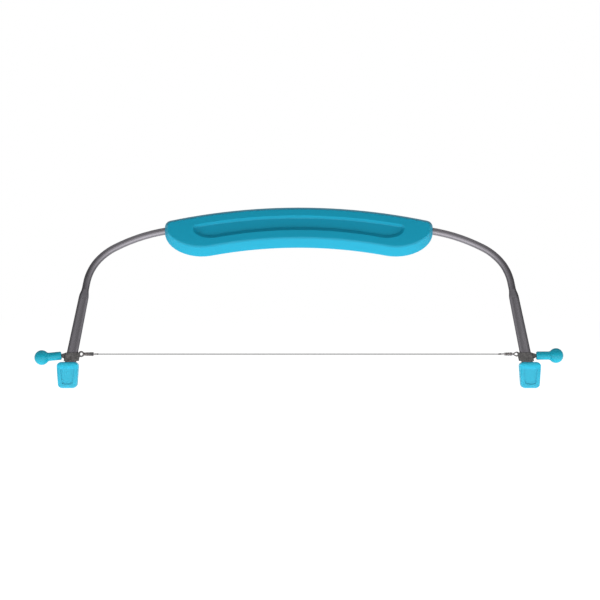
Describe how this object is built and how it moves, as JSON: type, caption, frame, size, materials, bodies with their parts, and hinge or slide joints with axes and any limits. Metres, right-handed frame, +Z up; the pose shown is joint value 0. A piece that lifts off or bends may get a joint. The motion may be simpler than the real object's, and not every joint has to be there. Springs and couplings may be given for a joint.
{
  "type": "cake leveler",
  "caption": "Wire cake leveler: a bent rod bow with a moulded grip and feet, and a taut cutting wire whose ends slide up the flattened legs on clips with ball knobs.",
  "frame": {"origin": "on the floor, midway between the two feet, centred front to back", "axes": "+X along the cutting wire to the right-hand knob, +Z up from the soles to the grip, -Y towards the front"},
  "size_m": [0.3174, 0.019, 0.1081],
  "materials": {
    "bow_rod": "drawn steel rod, satin",
    "grip": "moulded plastic, soft gloss",
    "foot": "moulded plastic, soft gloss",
    "knob": "moulded plastic, gloss",
    "strip": "thin folded strip, dull",
    "wire": "drawn wire"
  },
  "bodies": {
    "bow": {"bow_frame": "bow_rod", "handle_front": "grip", "handle_rear": "grip", "left_foot": "foot", "right_foot": "foot"},
    "wire": {"cutting_wire": "wire"},
    "left_slider": {"left_clip": "strip", "left_knob": "knob", "left_wire_eye": "wire"},
    "right_slider": {"right_clip": "strip", "right_knob": "knob", "right_wire_eye": "wire"}
  },
  "joints": [
    {"name": "wire_height", "type": "slide", "parent": "bow", "child": "wire", "axis": [0, 0, 1], "range_m": [0, 0.03]},
    {"name": "left_clip_slide", "type": "slide", "parent": "bow", "child": "left_slider", "axis": [0.2002, 0, 0.9798], "range_m": [0, 0.03063]},
    {"name": "right_clip_slide", "type": "slide", "parent": "bow", "child": "right_slider", "axis": [-0.2002, 0, 0.9798], "range_m": [0, 0.03063]}
  ],
  "couplings": [
    {"joint": "left_clip_slide", "follows": "wire_height", "ratio": 1.0207},
    {"joint": "right_clip_slide", "follows": "wire_height", "ratio": 1.0207}
  ]
}
